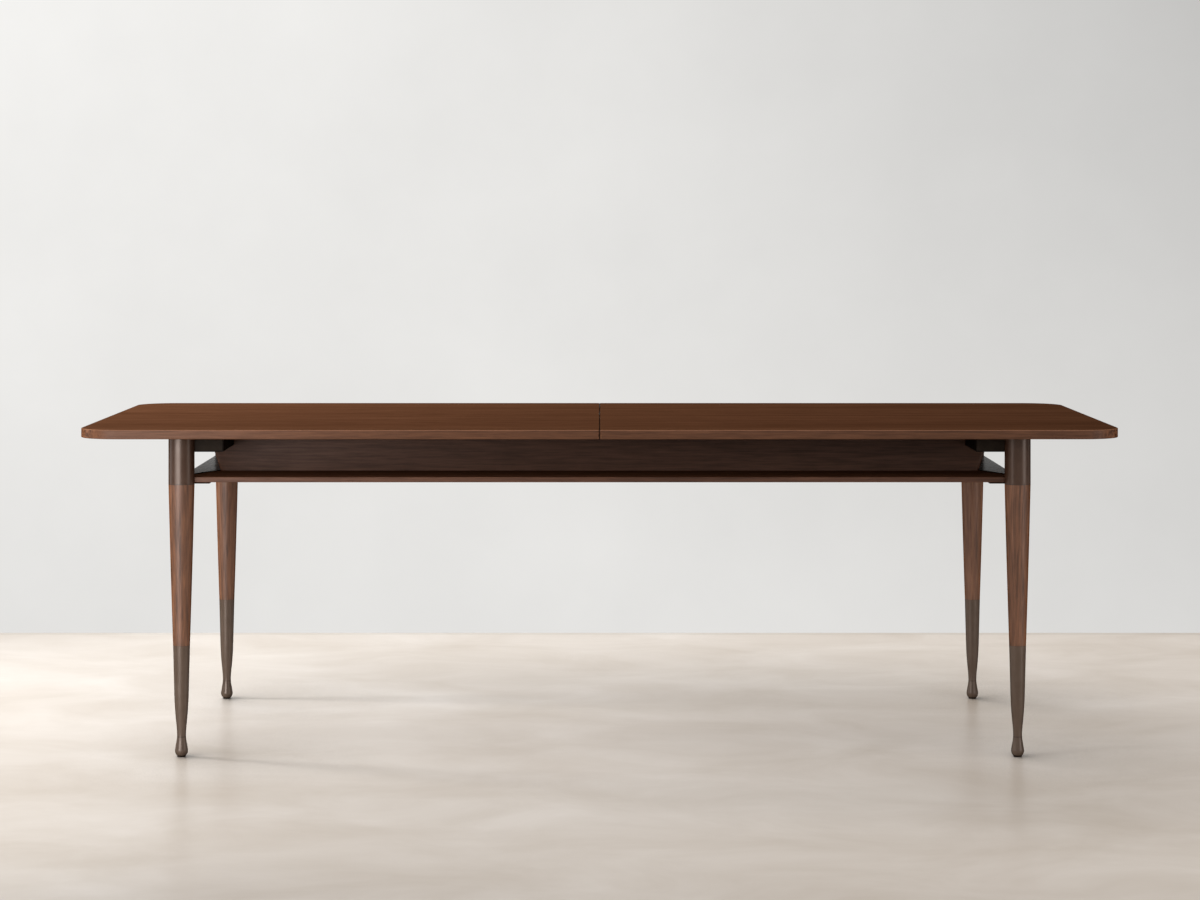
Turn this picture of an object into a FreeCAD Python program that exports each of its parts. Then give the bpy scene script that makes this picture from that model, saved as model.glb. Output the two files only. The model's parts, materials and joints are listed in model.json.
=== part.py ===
import FreeCAD, Part
import math
import os

# An extending dining table, closed, in millimetres: X along its length, Y along its depth, Z up,
# with the origin on the floor under its middle.

# Table top
TOP_LENGTH = 2400.0
TOP_WIDTH = 1067.0
TABLE_HEIGHT = 762.0
TOP_THICK = 21.5
CORNER_RADIUS = 92.0
EDGE_EASE = 2.0
SEAM_GAP = 0.1
SEAM_EASE = 1.2
SEAM_CORNER = 3.5

# Extension leaf, and the pins that line it up with the halves of the top
LEAF_WIDTH = 445.0
LEAF_SIDE_ROOM = 5.5
LEAF_END_ROOM = 4.0
PIN_DIAMETER = 8.0
PIN_EMBED = 20.0
PIN_REACH = 10.0
PIN_ROOM = 0.3
PIN_TIP_ROOM = 1.0
PIN_INNER_Y = 150.0
PIN_EDGE_MARGIN = 83.5

# Legs
LEG_INSET_LENGTH = 232.0
LEG_INSET_WIDTH = 87.5
LEG_TOP_DIAMETER = 60.0
LEG_SWELL = 0.45
LEG_FOOT_DIAMETER = 38.9
SPIGOT_LENGTH = 94.0
TENON_DIAMETER = 26.0
TENON_LENGTH = 75.0

# Collars round the leg tops
COLLAR_WALL = 4.0
COLLAR_WEB = 5.0
COLLAR_RECESS_DEPTH = 6.5
FIT_ROOM = 0.2

# Leg bolts and threaded inserts
BOLT_DIAMETER = 10.0
BOLT_HEAD_WIDTH = 17.0
BOLT_HEAD_HEIGHT = 6.0
BOLT_LENGTH = 48.0
INSERT_DIAMETER = 16.0
INSERT_LENGTH = 36.0
THREAD_ROOM = 0.05

# Ferrules on the lower legs
FERRULE_TOP_Z = 258.0
FERRULE_SHOULDER_Z = 148.0
FERRULE_SHOULDER_DIAMETER = 33.3
FERRULE_BEND_Z = 113.0
FERRULE_BEND_DIAMETER = 30.2
FERRULE_NECK_Z = 80.0
FERRULE_NECK_DIAMETER = 24.8
FERRULE_THROAT_Z = 63.0
FERRULE_THROAT_DIAMETER = 21.5

# Bulb feet and floor glides
WAIST_Z = 47.7
WAIST_DIAMETER = 20.4
FOOT_FLARE_Z = 40.0
FOOT_FLARE_DIAMETER = 22.0
FOOT_CONE_Z = 30.0
FOOT_CONE_DIAMETER = 25.4
FOOT_BULB_Z = 18.0
FOOT_BULB_DIAMETER = 29.3
FOOT_CROWN_Z = 12.5
FOOT_CROWN_DIAMETER = 29.8
FOOT_BASE_DIAMETER = 22.5
STUD_DIAMETER = 8.0
STUD_LENGTH = 28.0
GLIDE_HEIGHT = 4.0
GLIDE_DIAMETER = 20.0
GLIDE_EDGE = 1.2
GLIDE_STEM_DIAMETER = 6.0
GLIDE_STEM_LENGTH = 14.0
BLIND_ROOM = 1.0

# Cross beams under the top, from collar to collar
BEAM_WIDTH = 97.0
BEAM_HEIGHT = 32.0
BEAM_WALL = 3.0
BEAM_CORNER = 3.0
CAP_DEPTH = 14.0
PAD_THICK = 3.0
PAD_LENGTH = 110.0
PAD_WIDTH = 46.0
PAD_INSET = 22.0
PAD_END_MARGIN = 52.0

# Shelf, the flat bars that carry it and the plates on its ends
SHELF_DROP = 58.5
SHELF_THICK = 12.0
SHELF_EASE = 1.2
BAR_WIDTH = 67.0
BAR_THICK = 3.0
BAR_CHAMFER = 2.5
PLATE_THICK = 2.0
PLATE_BOARD_GAP = 1.0
PLATE_COLLAR_GAP = 10.0

# Long boards between the shelf and the top
APRON_THICK = 20.0
APRON_TOP_ROOM = 2.0
APRON_SHOULDER_ROOM = 1.5
APRON_END_SETBACK = 67.0
APRON_END_LEAN = 0.335
APRON_END_ROUND = 9.2

# Guide rails on the inner faces of the long boards
RAIL_WALL = 2.0
RAIL_DEPTH = 18.0
RAIL_HEIGHT = 26.0
RAIL_LIP = 4.0
RAIL_TOP_DROP = 10.0
RAIL_END_ROOM = 21.0
RAIL_SCREW_COUNT = 4
STOP_LENGTH = 9.0

# Angle runners and the shoes that slide in the rails
RUNNER_THICK = 3.0
RUNNER_FLANGE = 28.0
RUNNER_SEAM_MARGIN = 20.0
RUNNER_RAIL_ROOM = 1.0
SHOE_LENGTH = 60.0
SHOE_ROOM = 0.3
SHOE_END_MARGIN = 8.0
SHOE_BOSS_DIAMETER = 6.0
STOP_ROOM = 0.5
RUNNER_SCREW_COUNT = 3

# Gear equaliser: one pinion between two racks
GEAR_MODULE = 2.0
GEAR_TEETH = 24
GEAR_THICK = 10.0
PRESSURE_ANGLE = math.radians(20.0)
TOOTH_BACKLASH = 0.5
TOOTH_TIP_ROOM = 0.5
PINION_BORE_ROOM = 0.05
PINION_END_ROOM = 0.3
PINION_PIN_DIAMETER = 10.0
PINION_PIN_HEAD_DIAMETER = 18.0
PINION_PIN_HEAD_HEIGHT = 3.2
PINION_HOLE_COUNT = 6
PINION_HOLE_DIAMETER = 7.0
PINION_HOLE_CIRCLE = 30.0
RACK_BACK = 9.5
RACK_ANCHOR = 260.0
RACK_SPARE_TEETH = 3
SPACER_WIDTH = 30.0
SPACER_SEAM_MARGIN = 42.0
GUIDE_THICK = 10.0
GUIDE_ROOM = 0.15
BRIDGE_WIDTH = 80.0
BRIDGE_THICK = 12.5
BRIDGE_ROOM = 0.5
BRACKET_THICK = 3.0
BRACKET_LEG = 28.0
BRACKET_DROP = 18.0
BRACKET_WIDTH = 60.0

# Latches under the seam
LATCH_APRON_GAP = 47.0
LATCH_SEAM_MARGIN = 30.0
LATCH_THICK = 3.0
LATCH_WIDTH = 26.0
LATCH_TIP = 16.0
LATCH_TOP_GAP = 6.0
LATCH_ROOM = 0.4
LATCH_SLOT_ROOM = 0.5
LATCH_BORE_ROOM = 0.05
LATCH_PIVOT_DIAMETER = 8.0
LATCH_HEAD_DIAMETER = 16.0
LATCH_HEAD_HEIGHT = 3.0
LATCH_COLLAR_DIAMETER = 14.0
LATCH_THREAD_DIAMETER = 5.0
LATCH_THREAD_LENGTH = 12.0

# Leaf bearers on the shelf
BEARER_THICK = 3.0
BEARER_WIDTH = 25.0
BEARER_Y = 150.0
LEAF_STOP_LENGTH = 18.0
LEAF_STOP_HEIGHT = 16.0
LEAF_STOP_WIDTH = 120.0
LEAF_STOP_ROOM = 0.5

# Wood screws
SCREW_DIAMETER = 4.0
SCREW_HEAD_DIAMETER = 8.0
SCREW_ROOM = 0.05
RAIL_SCREW_LENGTH = 15.0
BAR_SCREW_LENGTH = 16.0
BAR_SCREW_COUNT = 4
APRON_SCREW_LENGTH = 40.0
APRON_SCREW_COUNT = 4
BEAM_SCREW_LENGTH = 36.0
BEAM_SCREW_INSET = 15.0
DRIVER_ROOM = 2.0
TOP_SCREW_GRIP = 13.0

Vec = FreeCAD.Vector
UP = Vec(0, 0, 1)
DOWN = Vec(0, 0, -1)
SIDES = {"front": -1, "back": 1}
ENDS = {"left": -1, "right": 1}

# Heights worked out from the top down
TOP_UNDER = TABLE_HEIGHT - TOP_THICK
TOP_MIDDLE = TABLE_HEIGHT - TOP_THICK / 2
BEAM_TOP = TOP_UNDER - PAD_THICK
BEAM_UNDER = BEAM_TOP - BEAM_HEIGHT
SHELF_TOP = BEAM_UNDER - SHELF_DROP
SHELF_UNDER = SHELF_TOP - SHELF_THICK
COLLAR_UNDER = SHELF_UNDER - BAR_THICK
RAIL_TOP = TOP_UNDER - RAIL_TOP_DROP
RAIL_UNDER = RAIL_TOP - RAIL_HEIGHT
BRIDGE_TOP = RAIL_UNDER - BRIDGE_ROOM
BRIDGE_UNDER = BRIDGE_TOP - BRIDGE_THICK
GEAR_UNDER = BRIDGE_TOP + BRIDGE_ROOM
GEAR_TOP = GEAR_UNDER + GEAR_THICK
LEAF_UNDER = SHELF_TOP + BEARER_THICK
LATCH_TOP = TOP_UNDER - LATCH_TOP_GAP
LATCH_UNDER = LATCH_TOP - LATCH_THICK

# Places along the length and the depth
LEG_X = TOP_LENGTH / 2 - LEG_INSET_LENGTH
LEG_Y = TOP_WIDTH / 2 - LEG_INSET_WIDTH
TRAVEL = LEAF_WIDTH / 2
BEAM_INNER_X = LEG_X - BEAM_WIDTH
BAR_INNER_X = LEG_X - BAR_WIDTH
APRON_LOW_X = LEG_X - APRON_END_SETBACK
RAIL_END_X = BEAM_INNER_X - RAIL_END_ROOM
RUNNER_START_X = SEAM_GAP / 2 + RUNNER_SEAM_MARGIN
SHOE_OUTER_X = RAIL_END_X - STOP_LENGTH - STOP_ROOM - TRAVEL
RUNNER_END_X = SHOE_OUTER_X + SHOE_END_MARGIN
BAY_HALF = (LEAF_WIDTH + PIN_REACH) / 2 + LEAF_SIDE_ROOM
APRON_OUTER_Y = BAY_HALF + APRON_THICK
APRON_MIDDLE_Y = BAY_HALF + APRON_THICK / 2
LATCH_Y = APRON_OUTER_Y + LATCH_APRON_GAP
RAIL_FACE_Y = BAY_HALF - RAIL_DEPTH
RUNNER_FACE_Y = RAIL_FACE_Y - RUNNER_RAIL_ROOM
LEAF_OUTER_X = BEAM_INNER_X - LEAF_END_ROOM
LEAF_INNER_X = LEAF_OUTER_X - TOP_WIDTH
LEAF_FRONT_Y = LEAF_SIDE_ROOM - BAY_HALF
PITCH_RADIUS = GEAR_MODULE * GEAR_TEETH / 2
TOOTH_PITCH = math.pi * GEAR_MODULE
TOOTH_TIP = GEAR_MODULE
TOOTH_ROOT = GEAR_MODULE + TOOTH_TIP_ROOM
LATCH_REACH = 2 * LATCH_SEAM_MARGIN


def box(x, y, z):
    """A block between two limits along each axis."""
    low = Vec(min(x), min(y), min(z))
    return Part.makeBox(abs(x[1] - x[0]), abs(y[1] - y[0]), abs(z[1] - z[0]), low)


def rod(start, direction, diameter, length):
    return Part.makeCylinder(diameter / 2, length, start, direction)


def line(a, b):
    return Part.LineSegment(a, b).toShape()


def arc(a, b, c):
    return Part.Arc(a, b, c).toShape()


def at(diameter, height):
    """A point of a turned profile."""
    return Vec(diameter / 2, 0, height)


def turned(edges):
    """The solid that a closed half profile makes round the Z axis."""
    return Part.Face(Part.Wire(edges)).revolve(Vec(0, 0, 0), UP, 360)


def polygon(points):
    return Part.Face(Part.makePolygon(points + points[:1]))


def stepped(steps):
    """A turned solid from (diameter, low, high) steps, lowest first."""
    shape = None
    for diameter, low, high in steps:
        step = rod(Vec(0, 0, low), UP, diameter, high - low)
        shape = step if shape is None else shape.fuse(step)
    return shape.removeSplitter()


def moved(shape, x, y, z=0.0):
    copy = shape.copy()
    copy.translate(Vec(x, y, z))
    return copy


def mirrored_x(shape):
    return shape.mirror(Vec(0, 0, 0), Vec(1, 0, 0))


def mirrored_y(shape):
    return shape.mirror(Vec(0, 0, 0), Vec(0, 1, 0))


def half_turned(shape):
    copy = shape.copy()
    copy.rotate(Vec(0, 0, 0), UP, 180)
    return copy


def spread(first, last, count):
    return [first + (last - first) * k / (count - 1) for k in range(count)]


def screw(start, direction, length, room=0.0):
    """A countersunk screw whose head face is centred on start."""
    head = (SCREW_HEAD_DIAMETER - SCREW_DIAMETER) / 2
    cone = Part.makeCone(SCREW_HEAD_DIAMETER / 2 + room, SCREW_DIAMETER / 2 + room, head, start, direction)
    shank = rod(start, direction, SCREW_DIAMETER + 2 * room, length + room)
    return cone.fuse(shank)


class ScrewSet:
    """Like screws that share a node, and the holes that they need."""

    def __init__(self, length):
        self.length = length
        self.places = []

    def add(self, start, direction):
        self.places.append((start, direction))

    def solids(self):
        return [screw(start, direction, self.length) for start, direction in self.places]

    def holes(self):
        return [screw(start, direction, self.length, SCREW_ROOM) for start, direction in self.places]


def leg_places():
    for end_name, end in ENDS.items():
        for side_name, side in SIDES.items():
            yield side_name + "_" + end_name, end * LEG_X, side * LEG_Y


def collar_cuts():
    """The room that the four collars take out of what meets them."""
    height = BEAM_TOP - COLLAR_UNDER + 2 * BLIND_ROOM
    return [rod(Vec(x, y, COLLAR_UNDER - BLIND_ROOM), UP, LEG_TOP_DIAMETER + 2 * FIT_ROOM, height)
            for _, x, y in leg_places()]


# Legs, collars and feet

def collar():
    bore = LEG_TOP_DIAMETER - 2 * COLLAR_WALL
    web_top = BEAM_TOP - COLLAR_RECESS_DEPTH
    sleeve = stepped([(LEG_TOP_DIAMETER, COLLAR_UNDER, BEAM_TOP)])
    socket = rod(Vec(0, 0, COLLAR_UNDER), UP, bore, web_top - COLLAR_WEB - COLLAR_UNDER)
    recess = rod(Vec(0, 0, web_top), UP, bore, COLLAR_RECESS_DEPTH)
    hole = rod(Vec(0, 0, web_top - COLLAR_WEB), UP, BOLT_DIAMETER + 2 * THREAD_ROOM, COLLAR_WEB)
    return sleeve.cut([socket, recess, hole])


SPIGOT_TOP = COLLAR_UNDER + SPIGOT_LENGTH
BOLT_SEAT = BEAM_TOP - COLLAR_RECESS_DEPTH


def leg():
    spigot = LEG_TOP_DIAMETER - 2 * COLLAR_WALL - 2 * FIT_ROOM
    tenon_under = FERRULE_TOP_Z - TENON_LENGTH
    middle_diameter = (LEG_TOP_DIAMETER + LEG_FOOT_DIAMETER) / 2 + 2 * LEG_SWELL
    middle = at(middle_diameter, (COLLAR_UNDER + FERRULE_TOP_Z) / 2)
    corners = [at(spigot, COLLAR_UNDER), at(spigot, SPIGOT_TOP), at(0, SPIGOT_TOP), at(0, tenon_under),
               at(TENON_DIAMETER, tenon_under), at(TENON_DIAMETER, FERRULE_TOP_Z)]
    top = at(LEG_TOP_DIAMETER, COLLAR_UNDER)
    foot = at(LEG_FOOT_DIAMETER, FERRULE_TOP_Z)
    edges = [arc(foot, middle, top), line(top, corners[0])]
    edges += [line(a, b) for a, b in zip(corners, corners[1:])]
    edges.append(line(corners[-1], foot))
    insert_room = INSERT_DIAMETER + 2 * THREAD_ROOM
    insert_hole = rod(Vec(0, 0, SPIGOT_TOP - INSERT_LENGTH), UP, insert_room, INSERT_LENGTH)
    bolt_depth = BOLT_LENGTH + BLIND_ROOM
    bolt_hole = rod(Vec(0, 0, BOLT_SEAT), DOWN, BOLT_DIAMETER + 2 * THREAD_ROOM, bolt_depth)
    return turned(edges).cut([insert_hole, bolt_hole])


def leg_bolt():
    reach = BOLT_HEAD_WIDTH / 2 / math.cos(math.pi / 6)
    turns = [k * math.pi / 3 for k in range(6)]
    corners = [Vec(reach * math.cos(turn), reach * math.sin(turn), BOLT_SEAT) for turn in turns]
    head = polygon(corners).extrude(UP * BOLT_HEAD_HEIGHT)
    return head.fuse(rod(Vec(0, 0, BOLT_SEAT), DOWN, BOLT_DIAMETER, BOLT_LENGTH))


def leg_insert():
    sleeve = rod(Vec(0, 0, SPIGOT_TOP - INSERT_LENGTH), UP, INSERT_DIAMETER, INSERT_LENGTH)
    return sleeve.cut(rod(Vec(0, 0, SPIGOT_TOP), DOWN, BOLT_DIAMETER + 2 * THREAD_ROOM, INSERT_LENGTH))


def ferrule():
    top = at(LEG_FOOT_DIAMETER, FERRULE_TOP_Z)
    shoulder = at(FERRULE_SHOULDER_DIAMETER, FERRULE_SHOULDER_Z)
    bend = at(FERRULE_BEND_DIAMETER, FERRULE_BEND_Z)
    neck = at(FERRULE_NECK_DIAMETER, FERRULE_NECK_Z)
    throat = at(FERRULE_THROAT_DIAMETER, FERRULE_THROAT_Z)
    waist = at(WAIST_DIAMETER, WAIST_Z)
    axis_top = at(0, FERRULE_TOP_Z)
    axis_base = at(0, WAIST_Z)
    edges = [line(axis_top, top), line(top, shoulder), arc(shoulder, bend, neck), arc(neck, throat, waist),
             line(waist, axis_base), line(axis_base, axis_top)]
    socket_depth = TENON_LENGTH + BLIND_ROOM / 2
    socket = rod(Vec(0, 0, FERRULE_TOP_Z), DOWN, TENON_DIAMETER + 2 * FIT_ROOM, socket_depth)
    stud_hole = rod(Vec(0, 0, WAIST_Z), UP, STUD_DIAMETER + 2 * THREAD_ROOM, STUD_LENGTH + BLIND_ROOM)
    return turned(edges).cut([socket, stud_hole])


def foot():
    waist = at(WAIST_DIAMETER, WAIST_Z)
    flare = at(FOOT_FLARE_DIAMETER, FOOT_FLARE_Z)
    cone = at(FOOT_CONE_DIAMETER, FOOT_CONE_Z)
    bulb = at(FOOT_BULB_DIAMETER, FOOT_BULB_Z)
    crown = at(FOOT_CROWN_DIAMETER, FOOT_CROWN_Z)
    base = at(FOOT_BASE_DIAMETER, GLIDE_HEIGHT)
    axis_top = at(0, WAIST_Z)
    axis_base = at(0, GLIDE_HEIGHT)
    edges = [line(axis_top, waist), arc(waist, flare, cone), line(cone, bulb), arc(bulb, crown, base),
             line(base, axis_base), line(axis_base, axis_top)]
    stud = rod(Vec(0, 0, WAIST_Z), UP, STUD_DIAMETER, STUD_LENGTH)
    stem_hole = rod(Vec(0, 0, GLIDE_HEIGHT), UP, GLIDE_STEM_DIAMETER + 2 * THREAD_ROOM,
                    GLIDE_STEM_LENGTH + BLIND_ROOM)
    return turned(edges).fuse(stud).cut(stem_hole)


def floor_glide():
    disc = rod(Vec(0, 0, 0), UP, GLIDE_DIAMETER, GLIDE_HEIGHT)
    floor_edges = [edge for edge in disc.Edges if edge.BoundBox.ZMax < GLIDE_HEIGHT / 2]
    disc = disc.makeFillet(GLIDE_EDGE, floor_edges)
    return disc.fuse(rod(Vec(0, 0, GLIDE_HEIGHT), UP, GLIDE_STEM_DIAMETER, GLIDE_STEM_LENGTH))


# Frame: cross beams, shelf bars, shelf and long boards

def beam_screws():
    screws = ScrewSet(BEAM_SCREW_LENGTH)
    for end in ENDS.values():
        for side in SIDES.values():
            x = end * (BEAM_INNER_X + BEAM_SCREW_INSET)
            screws.add(Vec(x, side * APRON_MIDDLE_Y, BEAM_UNDER + BEAM_WALL), DOWN)
    return screws


def crossbeam(end, screws):
    """A rectangular steel tube, coped round the collars at both ends."""
    x = (end * BEAM_INNER_X, end * LEG_X)
    tube = box(x, (-LEG_Y, LEG_Y), (BEAM_UNDER, BEAM_TOP))
    long_edges = [edge for edge in tube.Edges if edge.BoundBox.YLength > LEG_Y]
    tube = tube.makeFillet(BEAM_CORNER, long_edges)
    inner_x = (end * (BEAM_INNER_X + BEAM_WALL), end * (LEG_X - BEAM_WALL))
    hollow = box(inner_x, (-LEG_Y, LEG_Y), (BEAM_UNDER + BEAM_WALL, BEAM_TOP - BEAM_WALL))
    access_holes = [rod(start, UP, SCREW_HEAD_DIAMETER + 2 * DRIVER_ROOM, BEAM_HEIGHT)
                    for start, _ in screws.places]
    return tube.cut([hollow] + collar_cuts() + access_holes + screws.holes())


def crossbeam_caps():
    """Plugs that close the ends of the cross beams beside the collars."""
    caps = []
    for end in ENDS.values():
        x = (end * (BEAM_INNER_X + BEAM_WALL), end * (LEG_X - BEAM_WALL))
        for side in SIDES.values():
            y = (side * (LEG_Y - CAP_DEPTH), side * LEG_Y)
            plug = box(x, y, (BEAM_UNDER + BEAM_WALL, BEAM_TOP - BEAM_WALL))
            caps.append(plug.cut(collar_cuts()))
    return caps


def top_glide_pads():
    pads = []
    for end in ENDS.values():
        inner_x = BEAM_INNER_X + BEAM_CORNER + PAD_INSET
        for side in SIDES.values():
            outer_y = LEG_Y - PAD_END_MARGIN
            pads.append(box((end * inner_x, end * (inner_x + PAD_WIDTH)),
                            (side * (outer_y - PAD_LENGTH), side * outer_y), (BEAM_TOP, TOP_UNDER)))
    return pads


def bar_screws():
    screws = ScrewSet(BAR_SCREW_LENGTH)
    reach = APRON_OUTER_Y + BAR_WIDTH / 2
    for end in ENDS.values():
        for y in spread(-reach, reach, BAR_SCREW_COUNT):
            screws.add(Vec(end * (BAR_INNER_X + BAR_WIDTH / 2), y, COLLAR_UNDER), UP)
    return screws


def shelf_bar(end, screws):
    """A flat bar under the shelf, with a chamfered edge, and a tapered plate on the shelf over it."""
    corners = [(BAR_INNER_X + BAR_CHAMFER, COLLAR_UNDER), (LEG_X, COLLAR_UNDER), (LEG_X, SHELF_UNDER),
               (BAR_INNER_X, SHELF_UNDER), (BAR_INNER_X, COLLAR_UNDER + BAR_CHAMFER)]
    bar = polygon([Vec(end * x, -LEG_Y, z) for x, z in corners]).extrude(Vec(0, 2 * LEG_Y, 0))
    inner_x = APRON_LOW_X + APRON_END_LEAN * PLATE_THICK + PLATE_BOARD_GAP
    outer_y = LEG_Y - LEG_TOP_DIAMETER / 2 - PLATE_COLLAR_GAP
    outline = [(inner_x, -APRON_OUTER_Y), (LEG_X, -outer_y), (LEG_X, outer_y), (inner_x, APRON_OUTER_Y)]
    plate = polygon([Vec(end * x, y, SHELF_TOP) for x, y in outline]).extrude(UP * PLATE_THICK)
    return [piece.cut(collar_cuts() + screws.holes()) for piece in (bar, plate)]


def apron_screws():
    screws = ScrewSet(APRON_SCREW_LENGTH)
    reach = BAR_INNER_X - BAR_WIDTH
    for side in SIDES.values():
        for x in spread(-reach, reach, APRON_SCREW_COUNT):
            screws.add(Vec(x, side * APRON_MIDDLE_Y, SHELF_UNDER), UP)
    return screws


def shelf(screw_sets):
    board = box((-LEG_X, LEG_X), (-LEG_Y, LEG_Y), (SHELF_UNDER, SHELF_TOP))
    rim = [edge for edge in board.Edges if edge.BoundBox.ZLength < SHELF_EASE]
    board = board.makeFillet(SHELF_EASE, rim)
    holes = [hole for screws in screw_sets for hole in screws.holes()]
    return board.cut(collar_cuts() + holes)


def apron(side, screw_sets):
    """A board on edge: slanted, rounded ends, and shoulders under the cross beams."""
    high_x = APRON_LOW_X + APRON_END_LEAN * (BEAM_UNDER - SHELF_TOP)
    notch_x = BEAM_INNER_X - APRON_SHOULDER_ROOM
    half = [(APRON_LOW_X, SHELF_TOP), (high_x, BEAM_UNDER), (notch_x, BEAM_UNDER),
            (notch_x, TOP_UNDER - APRON_TOP_ROOM)]
    outline = half + [(-x, z) for x, z in reversed(half)]
    face = polygon([Vec(x, side * BAY_HALF, z) for x, z in outline])
    board = face.extrude(Vec(0, side * APRON_THICK, 0))
    slanted = [edge for edge in board.Edges
               if edge.BoundBox.XLength > EDGE_EASE and edge.BoundBox.ZLength > EDGE_EASE]
    board = board.makeFillet(APRON_END_ROUND, slanted)
    return board.cut([hole for screws in screw_sets for hole in screws.holes()])


# Slides: guide rails on the frame, runners with shoes under each half of the top

def rail_screws():
    screws = ScrewSet(RAIL_SCREW_LENGTH)
    reach = RAIL_END_X - BEAM_SCREW_INSET - STOP_LENGTH
    for side in SIDES.values():
        outward = Vec(0, side, 0)
        for x in spread(-reach, reach, RAIL_SCREW_COUNT):
            screws.add(Vec(x, side * (BAY_HALF - RAIL_WALL), (RAIL_TOP + RAIL_UNDER) / 2), outward)
        bracket_z = BRIDGE_UNDER - (BRACKET_DROP + BRACKET_THICK) / 2
        for x in (-BRACKET_WIDTH / 4, BRACKET_WIDTH / 4):
            screws.add(Vec(x, side * (BAY_HALF - BRACKET_THICK), bracket_z), outward)
    return screws


def guide_rail(side, screws):
    """A channel with lips, open towards the middle of the table."""
    x = (-RAIL_END_X, RAIL_END_X)
    channel = box(x, (side * RAIL_FACE_Y, side * BAY_HALF), (RAIL_UNDER, RAIL_TOP))
    hollow = box(x, (side * (RAIL_FACE_Y + RAIL_WALL), side * (BAY_HALF - RAIL_WALL)),
                 (RAIL_UNDER + RAIL_WALL, RAIL_TOP - RAIL_WALL))
    mouth = box(x, (side * RAIL_FACE_Y, side * (RAIL_FACE_Y + RAIL_WALL)),
                (RAIL_UNDER + RAIL_WALL + RAIL_LIP, RAIL_TOP - RAIL_WALL - RAIL_LIP))
    return channel.cut([hollow, mouth] + screws.holes())


def rail_stops():
    stops = []
    for end in ENDS.values():
        for side in SIDES.values():
            stops.append(box((end * (RAIL_END_X - STOP_LENGTH), end * RAIL_END_X),
                             (side * (RAIL_FACE_Y + RAIL_WALL), side * (BAY_HALF - RAIL_WALL)),
                             (RAIL_UNDER + RAIL_WALL, RAIL_TOP - RAIL_WALL)))
    return stops


def shoe_spans():
    """Where the two shoes of a runner lie along the right half."""
    inner_start = RUNNER_START_X + SHOE_END_MARGIN
    return [(inner_start, inner_start + SHOE_LENGTH), (SHOE_OUTER_X - SHOE_LENGTH, SHOE_OUTER_X)]


def shoe_bosses(end, side, room):
    middle_z = (RAIL_TOP + RAIL_UNDER) / 2
    return [rod(Vec(end * (x[0] + x[1]) / 2, side * RUNNER_FACE_Y, middle_z), Vec(0, -side, 0),
                SHOE_BOSS_DIAMETER + 2 * room, RUNNER_THICK) for x in shoe_spans()]


def slide_shoes(end):
    shoes = []
    for side in SIDES.values():
        bosses = shoe_bosses(end, side, 0.0)
        body_y = (side * (RAIL_FACE_Y + RAIL_WALL + SHOE_ROOM), side * (BAY_HALF - RAIL_WALL - SHOE_ROOM))
        body_z = (RAIL_UNDER + RAIL_WALL + SHOE_ROOM, RAIL_TOP - RAIL_WALL - SHOE_ROOM)
        neck_y = (side * RUNNER_FACE_Y, body_y[0])
        neck_z = (body_z[0] + RAIL_LIP, body_z[1] - RAIL_LIP)
        for (start, finish), boss in zip(shoe_spans(), bosses):
            x = (end * start, end * finish)
            shoes.append(box(x, body_y, body_z).fuse([box(x, neck_y, neck_z), boss]).removeSplitter())
    return shoes


def runners(end, screws):
    """Angle bars: a flange against the top, and a leg beside the rail."""
    x = (end * RUNNER_START_X, end * RUNNER_END_X)
    angles = []
    for side in SIDES.values():
        leg_y = (side * (RUNNER_FACE_Y - RUNNER_THICK), side * RUNNER_FACE_Y)
        upright = box(x, leg_y, (RAIL_UNDER + RAIL_WALL + RAIL_LIP, TOP_UNDER))
        flange_y = (side * (RUNNER_FACE_Y - RUNNER_FLANGE), side * RUNNER_FACE_Y)
        flange = box(x, flange_y, (TOP_UNDER - RUNNER_THICK, TOP_UNDER))
        angle = upright.fuse(flange).removeSplitter()
        angles.append(angle.cut(shoe_bosses(end, side, FIT_ROOM) + screws.holes()))
    return angles


def runner_screws(end):
    screws = ScrewSet(RUNNER_THICK + TOP_SCREW_GRIP)
    first = RUNNER_START_X + SHOE_LENGTH / 2
    last = RUNNER_END_X - SHOE_LENGTH / 2
    middle_y = RUNNER_FACE_Y - RUNNER_THICK - (RUNNER_FLANGE - RUNNER_THICK) / 2
    for side in SIDES.values():
        for x in spread(first, last, RUNNER_SCREW_COUNT):
            screws.add(Vec(end * x, side * middle_y, TOP_UNDER - RUNNER_THICK), UP)
    return screws


# Gear equaliser

RACK_ROOT_Y = PITCH_RADIUS + TOOTH_ROOT
RACK_BACK_Y = RACK_ROOT_Y + RACK_BACK


def rack_left(screws):
    """The rack of the left half: a bar with straight-sided teeth that face the pinion."""
    half_tooth = TOOTH_PITCH / 4 - TOOTH_BACKLASH / 4
    half_tip = half_tooth - TOOTH_TIP * math.tan(PRESSURE_ANGLE)
    half_root = half_tooth + TOOTH_ROOT * math.tan(PRESSURE_ANGLE)
    tip_y = TOOTH_TIP - PITCH_RADIUS
    last_tooth = math.ceil(TRAVEL / TOOTH_PITCH) + RACK_SPARE_TEETH
    end_x = (last_tooth + 1) * TOOTH_PITCH
    points = [Vec(-RACK_ANCHOR, -RACK_ROOT_Y, GEAR_UNDER)]
    for tooth in range(-RACK_SPARE_TEETH, last_tooth):
        middle = (tooth + 0.5) * TOOTH_PITCH
        tooth_outline = [(-half_root, -RACK_ROOT_Y), (-half_tip, tip_y), (half_tip, tip_y),
                         (half_root, -RACK_ROOT_Y)]
        points += [Vec(middle + x, y, GEAR_UNDER) for x, y in tooth_outline]
    points += [Vec(end_x, -RACK_ROOT_Y, GEAR_UNDER), Vec(end_x, -RACK_BACK_Y, GEAR_UNDER),
               Vec(-RACK_ANCHOR, -RACK_BACK_Y, GEAR_UNDER)]
    return polygon(points).extrude(UP * GEAR_THICK).cut(screws.holes())


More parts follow.
